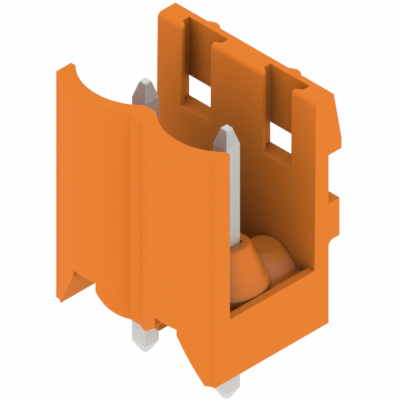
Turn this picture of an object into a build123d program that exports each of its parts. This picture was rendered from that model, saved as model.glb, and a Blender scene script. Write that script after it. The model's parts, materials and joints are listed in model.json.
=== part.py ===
from build123d import *
import os

# Two-pole plug-in pin header for a circuit board, open at both ends. Millimetres.
# X runs along the row of pins, Y from the scalloped wall (-Y) to the latch wall (+Y),
# and +Z is up from the board. The origin is on the board, midway along the row of pins.

# Row of pins
poles = 2
pitch = 5.08
end_margin = 2.42           # outer pin axis to the end face

# Heights
body_height = 12.25
base_height = 3.25          # top of the low lip across each open end
floor_top = 2.80
floor_thickness = 0.70

# Scalloped wall: round in front of each pin, flat between and beside the rounds
scallop_radius = 3.10       # inside, about each pin axis
wall_thickness = 0.78
web_face = 2.21             # pin axis to the inner edges between the scallops
web_thickness = 0.96
web_rounding = 0.30         # of the inner corners beside the scallops, seen from above
wall_rounding = 0.04        # along the top edges

# Latch wall
latch_wall_face = 3.97      # pin axis to its outside
latch_wall_foot = 0.88      # its thickness at the lip
latch_wall_head = 0.78      # its thickness at the top
head_rounding = 0.25        # along the inner edge of its top
end_lip = 0.39              # thickness of the lip across each end

# Hook and rail along the outside of the latch wall
hook_top_reach = 0.33       # out from the wall, at the top
hook_reach = 0.815          # out from the wall, at the nose
hook_underside = 9.085
hook_nose = 0.56            # height of the upright nose
bump_radius = 0.51          # half-round on the hook behind each pin
rail_reach = 0.685
rail_top = 6.46
rail_height = 2.03
rail_root = 0.28            # round between the rail's underside and the wall

# Keyhole slots for the catches of a plug, one behind each pin
slot_sill = 8.00
slot_neck = 1.80
slot_width = 2.46
slot_depth = 0.40           # of the wide part, in from the outside
slot_shoulder = 0.21        # depth of the slanted shoulders
slot_rounding = 0.05        # along the edges of the neck and the sill

# Collar around each pin: square above, round at its foot. Heights are above the floor
collar_height = 2.40
collar_top = 1.90           # across the flats
collar_corner = 0.68
collar_shoulder_height = 0.75
collar_shoulder = 3.26
collar_shoulder_corner = 1.35
collar_skirt_height = 0.62
collar_skirt = 3.62
collar_skirt_corner = 1.70
collar_foot_height = 0.42
collar_foot = 3.86
collar_foot_corner = 1.90
collar_rounding = 0.14      # around the top

# Hump behind each collar, against the latch wall, sized in the same way
hump_shift = 2.30           # back from the pin axis
hump_height = 1.06
hump_top = 1.50
hump_corner = 0.65
hump_foot = 3.02
hump_foot_corner = 1.25
hump_rounding = 0.35

# Relief under the base, as it looks from the front
end_rib_foot = 0.455        # width of each end rib on the board
relief_rise = 2.32          # height of its slanted side
notch_width = 1.37          # high notch in front of each pin
notch_top = 2.64
arch_low = 1.11             # lowest point of the wall and rib between two pins
arch_high = 2.19            # where the arched edge meets the notches
rib_width = 2.42            # rib between two pins
rib_front = 2.90            # pin axis to its front, which is under the arch

# Pins: square wire with a blunt plug end and a bullet-shaped solder tail
pin_size = 0.86
pin_corner = 0.03
pin_top = 11.35             # above the board
pin_taper = 0.85
pin_tip = 0.38
tail_length = 3.20          # below the board
tail_taper = 0.52
tail_tip = 0.34
mouth_depth = 0.35          # wider mouth of each pin hole
mouth_clearance = 0.10

# Places that follow from the sizes above
width = (poles - 1) * pitch + 2 * end_margin
pin_row = [pitch * (i - (poles - 1) / 2) for i in range(poles)]
gap_row = [x + pitch / 2 for x in pin_row[:-1]]
wall_radius = scallop_radius + wall_thickness
wall_flat = web_face + web_thickness
foot_y = latch_wall_face - latch_wall_foot
head_y = latch_wall_face - latch_wall_head
nose_y = latch_wall_face + hook_reach
nose_top = hook_underside + hook_nose
rail_y = latch_wall_face + rail_reach
rail_bottom = rail_top - rail_height
collar_z = floor_top + collar_height
hump_z = floor_top + hump_height
rib_gap_half = width / 2 - end_rib_foot
relief_run = end_margin - end_rib_foot - notch_width / 2
arch_half = (pitch - notch_width) / 2


def pins_at(y=0):
    return Locations(*[(x, y) for x in pin_row])


# Square sections for a column, each given as its height, size across the flats and corner
def column_sections(place, *stations):
    sections = []
    for z, size, corner in stations:
        with BuildSketch(Plane.XY.offset(z)) as section:
            with Locations(place):
                RectangleRounded(size, size, corner)
        sections.append(section.sketch)
    return sections


# Plan of the base
with BuildSketch() as base_plan:
    with pins_at():
        Circle(wall_radius)
    with Locations((0, -wall_flat)):
        Rectangle(width, wall_flat + latch_wall_face, align=(Align.CENTER, Align.MIN))
    with Locations((0, -wall_radius)):
        Rectangle(
            width, wall_radius + latch_wall_face, align=(Align.CENTER, Align.MIN), mode=Mode.INTERSECT
        )

# Plan of the scalloped wall
with BuildSketch() as wall_plan:
    add(base_plan.sketch)
    with Locations((0, -wall_radius)):
        Rectangle(width, wall_radius - web_face, align=(Align.CENTER, Align.MIN), mode=Mode.INTERSECT)
    with pins_at():
        Circle(scallop_radius, mode=Mode.SUBTRACT)
    web_corners = wall_plan.vertices().filter_by_position(Axis.Y, -web_face, -web_face)
    fillet(web_corners.filter_by_position(Axis.X, -width / 2, width / 2, (False, False)), web_rounding)

# Space between the end ribs, as it looks from the front
with BuildSketch(Plane.XZ) as rib_gap:
    with BuildLine():
        Polyline(
            (-rib_gap_half, 0),
            (-rib_gap_half + relief_run, relief_rise),
            (rib_gap_half - relief_run, relief_rise),
            (rib_gap_half, 0),
            close=True,
        )
    make_face()

# Relief through the foot of the scalloped wall: a notch at each pin, an arch between two
with BuildPart() as wall_relief:
    extrude(wall_plan.sketch, amount=notch_top)
    with BuildSketch(Plane.XZ):
        add(rib_gap.sketch)
        with pins_at():
            Rectangle(notch_width, notch_top, align=(Align.CENTER, Align.MIN))
        for x in gap_row:
            left, right = x - arch_half, x + arch_half
            with BuildLine():
                ThreePointArc((left, arch_high), (x, arch_low), (right, arch_high))
                Polyline((right, arch_high), (right, notch_top), (left, notch_top), (left, arch_high))
            make_face(mode=Mode.SUBTRACT)
    extrude(amount=wall_radius, mode=Mode.INTERSECT)
    with BuildSketch(Plane.XY.offset(arch_low)):
        with Locations(*[(x, -rib_front) for x in gap_row]):
            Rectangle(rib_width, rib_front, align=(Align.CENTER, Align.MIN))
    extrude(amount=notch_top - arch_low, mode=Mode.SUBTRACT)

# Relief under the floor, behind the scalloped wall, with a rib between two pins
with BuildPart() as floor_relief:
    with BuildSketch():
        add(base_plan.sketch)
        add(wall_plan.sketch, mode=Mode.SUBTRACT)
    extrude(amount=floor_top - floor_thickness)
    with BuildSketch(Plane.XZ):
        add(rib_gap.sketch)
        for x in gap_row:
            with Locations((x, arch_low)):
                Rectangle(rib_width, notch_top, align=(Align.CENTER, Align.MIN), mode=Mode.SUBTRACT)
    extrude(amount=wall_radius + latch_wall_face, both=True, mode=Mode.INTERSECT)

# Housing, one moulding
with BuildPart() as housing:
    extrude(base_plan.sketch, amount=floor_top)
    extrude(wall_plan.sketch, amount=body_height)
    wall_edges = housing.edges().filter_by_position(Axis.Z, body_height, body_height)
    fillet(wall_edges.filter_by(Axis.Y, reverse=True), wall_rounding)

    # Latch wall with its hook and rail
    with BuildSketch(Plane.YZ.offset(-width / 2)):
        with BuildLine():
            CenterArc((latch_wall_face + rail_root, rail_bottom - rail_root), rail_root, 90, 90)
            Polyline(
                (latch_wall_face, rail_bottom - rail_root),
                (latch_wall_face, 0),
                (foot_y, 0),
                (foot_y, base_height),
                (head_y, body_height),
                (latch_wall_face + hook_top_reach, body_height),
                (nose_y, nose_top),
                (nose_y, hook_underside),
                (latch_wall_face, hook_underside),
                (latch_wall_face, rail_top),
                (rail_y, rail_top),
                (rail_y, rail_bottom),
                (latch_wall_face + rail_root, rail_bottom),
            )
        make_face()
    extrude(amount=width)
    head_edges = housing.edges().filter_by(Axis.X).filter_by_position(Axis.Z, body_height, body_height)
    fillet(head_edges.filter_by_position(Axis.Y, head_y, head_y), head_rounding)

    # Half-round bumps on the hook
    with BuildSketch(Plane.XY.offset(nose_top)):
        with pins_at(latch_wall_face):
            Circle(bump_radius)
    extrude(amount=body_height - nose_top)

    # Keyhole slots
    with BuildSketch(Plane.XY.offset(slot_sill)):
        with pins_at(latch_wall_face):
            Rectangle(slot_width, slot_depth, align=(Align.CENTER, Align.MAX))
            Rectangle(slot_neck, latch_wall_face, align=(Align.CENTER, Align.MAX))
        for x in pin_row:
            with BuildLine():
                Polyline(
                    (x - slot_neck / 2, latch_wall_face - slot_depth - slot_shoulder),
                    (x + slot_neck / 2, latch_wall_face - slot_depth - slot_shoulder),
                    (x + slot_width / 2, latch_wall_face - slot_depth),
                    (x - slot_width / 2, latch_wall_face - slot_depth),
                    close=True,
                )
            make_face()
    extrude(amount=body_height - slot_sill, mode=Mode.SUBTRACT)
    inner_edges = housing.edges().filter_by_position(Axis.Y, foot_y, head_y)
    inner_edges = inner_edges.filter_by_position(Axis.Z, slot_sill, body_height - head_rounding)
    for x in pin_row:
        slot_edges = inner_edges.filter_by_position(Axis.X, x - slot_neck / 2, x + slot_neck / 2)
        fillet(slot_edges, slot_rounding)

    # Lips across the open ends
    with BuildSketch(Plane.XY.offset(floor_top)):
        for side in (-1, 1):
            with Locations((side * (width - end_lip) / 2, -web_face)):
                Rectangle(end_lip, web_face + foot_y, align=(Align.CENTER, Align.MIN))
    extrude(amount=base_height - floor_top)

    # Relief under the base
    add(wall_relief.part, mode=Mode.SUBTRACT)
    add(floor_relief.part, mode=Mode.SUBTRACT)

    # Humps, then the collars in front of them
    for x in pin_row:
        sections = column_sections(
            (x, hump_shift),
            (floor_top, hump_foot, hump_foot_corner),
            (hump_z, hump_top, hump_corner),
        )
        loft(sections, ruled=True)
    fillet(housing.edges().filter_by_position(Axis.Z, hump_z, hump_z), hump_rounding)
    for x in pin_row:
        sections = column_sections(
            (x, 0),
            (floor_top, collar_foot, collar_foot_corner),
            (floor_top + collar_foot_height, collar_foot, collar_foot_corner),
            (floor_top + collar_skirt_height, collar_skirt, collar_skirt_corner),
            (floor_top + collar_shoulder_height, collar_shoulder, collar_shoulder_corner),
            (collar_z, collar_top, collar_corner),
        )
        loft(sections, ruled=True)
    fillet(housing.edges().filter_by_position(Axis.Z, collar_z, collar_z), collar_rounding)

    # Pin holes, each with a wider mouth at the top
    with BuildSketch():
        with pins_at():
            RectangleRounded(pin_size, pin_size, pin_corner)
    extrude(amount=collar_z, mode=Mode.SUBTRACT)
    with BuildSketch(Plane.XY.offset(collar_z - mouth_depth)):
        with pins_at():
            mouth = pin_size + 2 * mouth_clearance
            RectangleRounded(mouth, mouth, pin_corner + mouth_clearance)
    extrude(amount=mouth_depth, mode=Mode.SUBTRACT)
housing.part.label = "housing"

# Pins, each one piece of wire pressed into its hole
pins = []
for x in pin_row:
    with BuildPart() as pin:
        sections = column_sections(
            (x, 0),
            (-tail_length, tail_tip, pin_corner),
            (tail_taper - tail_length, pin_size, pin_corner),
            (pin_top - pin_taper, pin_size, pin_corner),
            (pin_top, pin_tip, pin_corner),
        )
        loft(sections, ruled=True)
    pins.append(pin.part)
    pin.part.label = f"pin_{len(pins)}"

os.makedirs("parts", exist_ok=True)
for piece in [housing.part, *pins]:
    export_step(piece, f"parts/{piece.label}.step")
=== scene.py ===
# Two-pole pin header: orange moulded housing, two tinned square pins, on a plain white floor
import json

import bpy
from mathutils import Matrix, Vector


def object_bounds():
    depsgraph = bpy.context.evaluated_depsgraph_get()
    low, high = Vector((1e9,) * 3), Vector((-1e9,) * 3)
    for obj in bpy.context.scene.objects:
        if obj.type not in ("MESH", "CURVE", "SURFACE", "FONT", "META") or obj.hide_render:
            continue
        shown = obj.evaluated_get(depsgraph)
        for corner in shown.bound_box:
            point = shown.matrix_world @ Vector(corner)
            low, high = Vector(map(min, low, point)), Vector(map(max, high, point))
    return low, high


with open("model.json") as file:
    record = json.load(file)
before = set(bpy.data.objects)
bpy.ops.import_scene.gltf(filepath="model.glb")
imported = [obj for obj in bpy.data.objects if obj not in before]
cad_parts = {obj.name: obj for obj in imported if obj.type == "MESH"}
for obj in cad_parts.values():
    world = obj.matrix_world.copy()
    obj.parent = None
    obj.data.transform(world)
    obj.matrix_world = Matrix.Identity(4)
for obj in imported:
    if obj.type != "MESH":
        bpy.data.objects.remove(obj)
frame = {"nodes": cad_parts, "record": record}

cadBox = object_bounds()
mm = 0.001
opennessRays = 16            # of each Ambient Occlusion node


# Shader helpers

class Socket:
    # Wraps an output so that shader maths reads as plain arithmetic
    def __init__(self, material, output):
        self.material = material
        self.output = output

    def math(self, operation, other):
        return self.material.node("ShaderNodeMath", {"operation": operation}, {0: self, 1: other})

    def __add__(self, other):
        return self.math("ADD", other)

    def __mul__(self, other):
        return self.math("MULTIPLY", other)

    def __sub__(self, other):
        return self.math("SUBTRACT", other)

    def __rsub__(self, other):
        return self.material.node("ShaderNodeMath", {"operation": "SUBTRACT"}, {0: other, 1: self})

    __radd__ = __add__
    __rmul__ = __mul__


class Material:
    def __init__(self, name):
        self.data = bpy.data.materials.new(name)
        self.data.use_nodes = True
        self.tree = self.data.node_tree
        self.shader = self.tree.nodes["Principled BSDF"]

    def node(self, kind, settings=None, values=None, output=0):
        made = self.tree.nodes.new(kind)
        for name, value in (settings or {}).items():
            if name == "stops":
                self.setStops(made.color_ramp, value)
            else:
                setattr(made, name, value)
        for name, value in (values or {}).items():
            self.feed(self.openSocket(made.inputs, name), value)
        return Socket(self, self.openSocket(made.outputs, output))

    def openSocket(self, sockets, name):
        # The socket of this name that is in use, where a node has one for each data type
        if isinstance(name, int):
            return sockets[name]
        return next(socket for socket in sockets if socket.name == name and socket.enabled)

    def setStops(self, ramp, stops):
        while len(ramp.elements) < len(stops):
            ramp.elements.new(0.5)   # anywhere, since its place is set below
        for element, (place, colour) in zip(ramp.elements, stops):
            element.position = place
            element.color = (*colour, 1)

    def feed(self, socket, value):
        if isinstance(value, Socket):
            self.tree.links.new(value.output, socket)
        else:
            socket.default_value = value

    def place(self, stretch=(1, 1, 1)):
        # Object coordinates counted in millimetres
        coordinates = self.node("ShaderNodeTexCoord", output="Object")
        scale = [s / mm for s in stretch]
        return self.node("ShaderNodeMapping", {}, {"Vector": coordinates, "Scale": scale})

    def noise(self, place, scale, detail):
        values = {"Vector": place, "Scale": scale, "Detail": detail}
        return self.node("ShaderNodeTexNoise", {}, values)

    def bump(self, height, distance, strength):
        values = {"Height": height, "Distance": distance, "Strength": strength}
        return self.node("ShaderNodeBump", {}, values)

    def openness(self, reach):
        # Ambient occlusion: 1 on an open face, towards 0 deep inside the shroud; the materials
        # paint shade from it
        settings = {"samples": opennessRays}
        return self.node("ShaderNodeAmbientOcclusion", settings, {"Distance": reach}, output="AO")

    def ramp(self, factor, stops):
        return self.node("ShaderNodeValToRGB", {"stops": stops}, {0: factor}, output="Color")

    def blend(self, factor, first, second):
        # From one colour, which may vary, towards a plain one
        values = {"Factor": factor, "A": first, "B": (*second, 1)}
        return self.node("ShaderNodeMix", {"data_type": "RGBA"}, values, output="Result")

    def clamped(self, value):
        return self.node("ShaderNodeClamp", {}, {"Value": value})

    def part(self, place, axis):
        # One coordinate of a place
        return self.node("ShaderNodeSeparateXYZ", {}, {"Vector": place}, output=axis)

    def band(self, value, ends, fade):
        # 1 between two ends, and 0 beyond them
        rise = self.clamped((value - ends[0]) * (1 / fade))
        return rise * self.clamped((ends[1] - value) * (1 / fade))

    def finish(self, inputs):
        for name, value in inputs.items():
            self.feed(self.shader.inputs[name], value)
        return self.data


# Materials

housingLook = {
    "paintedShadeStops": (              # painted shade: darker by ambient occlusion deep inside the shroud, up to the plain colour of the open faces
        (0.10, (0.245, 0.107, 0.038)),
        (0.33, (0.475, 0.172, 0.025)),
        (0.58, (0.635, 0.194, 0.024)),
        (0.94, (0.826, 0.221, 0.029)),
    ),
    "shadeReach": 8.0 * mm,
    "clouding": 0.45,        # cloudy patches, for each millimetre
    "cloudDetail": 3.0,
    "cloudShade": 0.03,
    "grain": 9.0,            # spark-eroded mould skin, for each millimetre
    "grainDetail": 3.0,
    "grainHeight": 0.004 * mm,
    "grainStrength": 0.6,
    "roughness": 0.60,
    "roughnessRange": 0.12,
    "specular": 0.02,
    # Polished end of the core insert, which shapes the collars and humps. Ends are in millimetres
    "polish": 2.4,           # coat for each unit of openness lost
    "polishFrom": 0.92,      # openness at which it starts
    "polishHeights": (2.9, 5.3),     # from just above the floor to past the collars
    "polishDepths": (-3.15, 3.15),   # between the two walls
    "polishRoughness": 0.30,
    # Humps, where the painted shade is drawn towards one level
    "humpRow": (-4.45, 4.45),
    "humpDepths": (1.30, 3.05),
    "humpHeights": (2.95, 4.05),
    "humpOpenness": 0.90,    # what is more open than this is no hump
    "humpContrast": 8,       # how fast they end there
    "humpShadeLevel": 0.45,        # openness that their painted shade is drawn towards
    "humpShare": 1.40,       # how far; over 1 turns their painted shade round
    "humpPolish": 0.50,      # what is left of the polish
    "paintedSheen": (0.70, 0.26, 0.16),     # painted pinkish sheen low on them
    "paintedSheenHeights": (2.50, 3.75),
    "paintedSheenFade": 0.5,
    "paintedSheenShare": 0.38,
    "fade": 0.15,            # how softly the other ends blend, in millimetres
}


def mouldedPlastic(look):
    material = Material("orange moulded plastic")
    place = material.place()
    clouds = material.noise(place, look["clouding"], look["cloudDetail"])
    grain = material.noise(place, look["grain"], look["grainDetail"])
    wide = material.openness(look["shadeReach"])
    height = material.part(place, "Z")
    depth = material.part(place, "Y")
    humps = material.band(height, look["humpHeights"], look["fade"])
    humps = humps * material.band(depth, look["humpDepths"], look["fade"])
    humps = humps * material.band(material.part(place, "X"), look["humpRow"], look["fade"])
    humps = humps * material.clamped((look["humpOpenness"] - wide) * look["humpContrast"])
    # painted shade on the humps, drawn towards one level
    even = wide + (look["humpShadeLevel"] - wide) * humps * look["humpShare"]
    openness = even + (clouds - 0.5) * look["cloudShade"]
    # painted sheen: a paler, pinker colour low on the humps
    paintedSheen = humps * material.band(height, look["paintedSheenHeights"], look["paintedSheenFade"])
    paintedSheen = paintedSheen * look["paintedSheenShare"]
    polished = material.clamped((look["polishFrom"] - wide) * look["polish"])
    polished = polished * material.band(height, look["polishHeights"], look["fade"])
    polished = polished * material.band(depth, look["polishDepths"], look["fade"])
    polished = polished * (1 - humps * (1 - look["humpPolish"]))
    # painted shade: the base colour darkens where ambient occlusion finds the shroud closed
    shade = material.ramp(openness, look["paintedShadeStops"])
    return material.finish({
        "Base Color": material.blend(paintedSheen, shade, look["paintedSheen"]),
        "Roughness": look["roughness"] + (grain - 0.5) * look["roughnessRange"],
        "Specular IOR Level": look["specular"],
        "Coat Weight": polished,
        "Coat Roughness": look["polishRoughness"],
        "Normal": material.bump(grain, look["grainHeight"], look["grainStrength"]),
    })


pinLook = {
    "paintedShadeStops": (              # painted shade: darker and bluer by ambient occlusion deep inside the shroud, up to the open faces
        (0.15, (0.440, 0.490, 0.535)),
        (0.60, (0.478, 0.522, 0.548)),
        (0.76, (0.562, 0.566, 0.540)),
        (0.95, (0.660, 0.660, 0.653)),
    ),
    "shadeReach": 6.0 * mm,
    "patches": 2.2,          # dull patches in the tin, for each millimetre
    "patchDetail": 2.0,
    "patchShade": 0.10,
    "taperHeights": (10.5, 11.3),    # of the stamped taper, in millimetres
    "taperFade": 0.1,
    "taperPaintedShade": 0.22,      # how much darker the taper is painted, as painted shade
    "foot": (0.84, 0.79, 0.66),      # painted warm light, as bounced off the orange collar, just above it
    "footHeights": (4.0, 5.75),
    "footFade": 0.6,
    "metal": 0.33,           # matt tin, between bare metal and a grey coat
    "streaks": 14.0,         # drawing lines across the wire, for each millimetre
    "streakDetail": 3.0,
    "streakStretch": 0.04,   # how much slower they change along it
    "streakHeight": 0.001 * mm,
    "streakStrength": 0.5,
    "roughness": 0.36,
    "roughnessRange": 0.06,
    "specular": 0.25,
}


def tinnedWire(look):
    material = Material("tinned wire")
    place = material.place()
    along = material.place((1, 1, look["streakStretch"]))
    streaks = material.noise(along, look["streaks"], look["streakDetail"])
    patches = material.noise(place, look["patches"], look["patchDetail"])
    height = material.part(place, "Z")
    taper = material.band(height, look["taperHeights"], look["taperFade"])
    # painted bounce light: the pin drawn warmer and brighter just above the collar
    foot = material.band(height, look["footHeights"], look["footFade"])
    # painted shade: the taper is drawn as if less open, so darker and bluer
    wide = material.openness(look["shadeReach"]) - taper * look["taperPaintedShade"]
    openness = wide + (patches - 0.5) * look["patchShade"]
    # painted shade: the base colour darkens where ambient occlusion finds the shroud closed
    shade = material.ramp(openness, look["paintedShadeStops"])
    return material.finish({
        "Base Color": material.blend(foot, shade, look["foot"]),
        "Metallic": look["metal"],
        "Roughness": look["roughness"] + (streaks - 0.5) * look["roughnessRange"],
        "Specular IOR Level": look["specular"],
        "Normal": material.bump(streaks, look["streakHeight"], look["streakStrength"]),
    })


finishes = {"housing": mouldedPlastic(housingLook), "pins": tinnedWire(pinLook)}
for part in frame["record"]["subparts"]:
    slots = frame["nodes"][part["node"]].data.materials
    slots.clear()
    slots.append(finishes[part["material_slot"]])
print("materials on", len(frame["nodes"]), "nodes")


# Floor, world and camera

stageLook = {
    "floorDrop": 25 * mm,    # floor below the tips of the solder tails
    "floorSize": 2.0,
    "white": 1.0,
}


def layFloor(look):
    bpy.ops.object.select_all(action="DESELECT")
    height = cadBox[0].z - look["floorDrop"]
    bpy.ops.mesh.primitive_plane_add(size=look["floorSize"], location=(0, 0, height))
    floor = bpy.context.object
    floor.name = "floor"
    paint = Material("white floor")
    floor.data.materials.append(paint.finish({
        "Base Color": (look["white"], look["white"], look["white"], 1),
        "Roughness": 1.0,
        "Specular IOR Level": 0.0,
    }))


def lightWorld(look):
    world = bpy.data.worlds.new("studio")
    bpy.context.scene.world = world
    world.use_nodes = True
    background = world.node_tree.nodes["Background"]
    background.inputs["Color"].default_value = (1, 1, 1, 1)
    background.inputs["Strength"].default_value = look["white"]


cameraSetup = {
    "aim": (0.439 * mm, 0.439 * mm, 6.165 * mm),   # what lies at the middle of the picture
    "back": (1, -1, 1),      # from the aim towards the camera
    "distance": 120 * mm,
    "frameWidth": 17.715 * mm,
    "clip": (1 * mm, 10),
}


def setCamera(setup):
    back = Vector(setup["back"]).normalized()
    bpy.ops.object.camera_add(location=Vector(setup["aim"]) + back * setup["distance"])
    camera = bpy.context.object
    camera.rotation_mode = "QUATERNION"
    camera.rotation_quaternion = (-back).to_track_quat("-Z", "Y")
    camera.data.type = "ORTHO"
    camera.data.ortho_scale = setup["frameWidth"]
    camera.data.clip_start, camera.data.clip_end = setup["clip"]
    bpy.context.scene.camera = camera


layFloor(stageLook)
lightWorld(stageLook)
setCamera(cameraSetup)
bpy.context.scene.view_settings.view_transform = "Standard"
print("floor, light and camera are set")
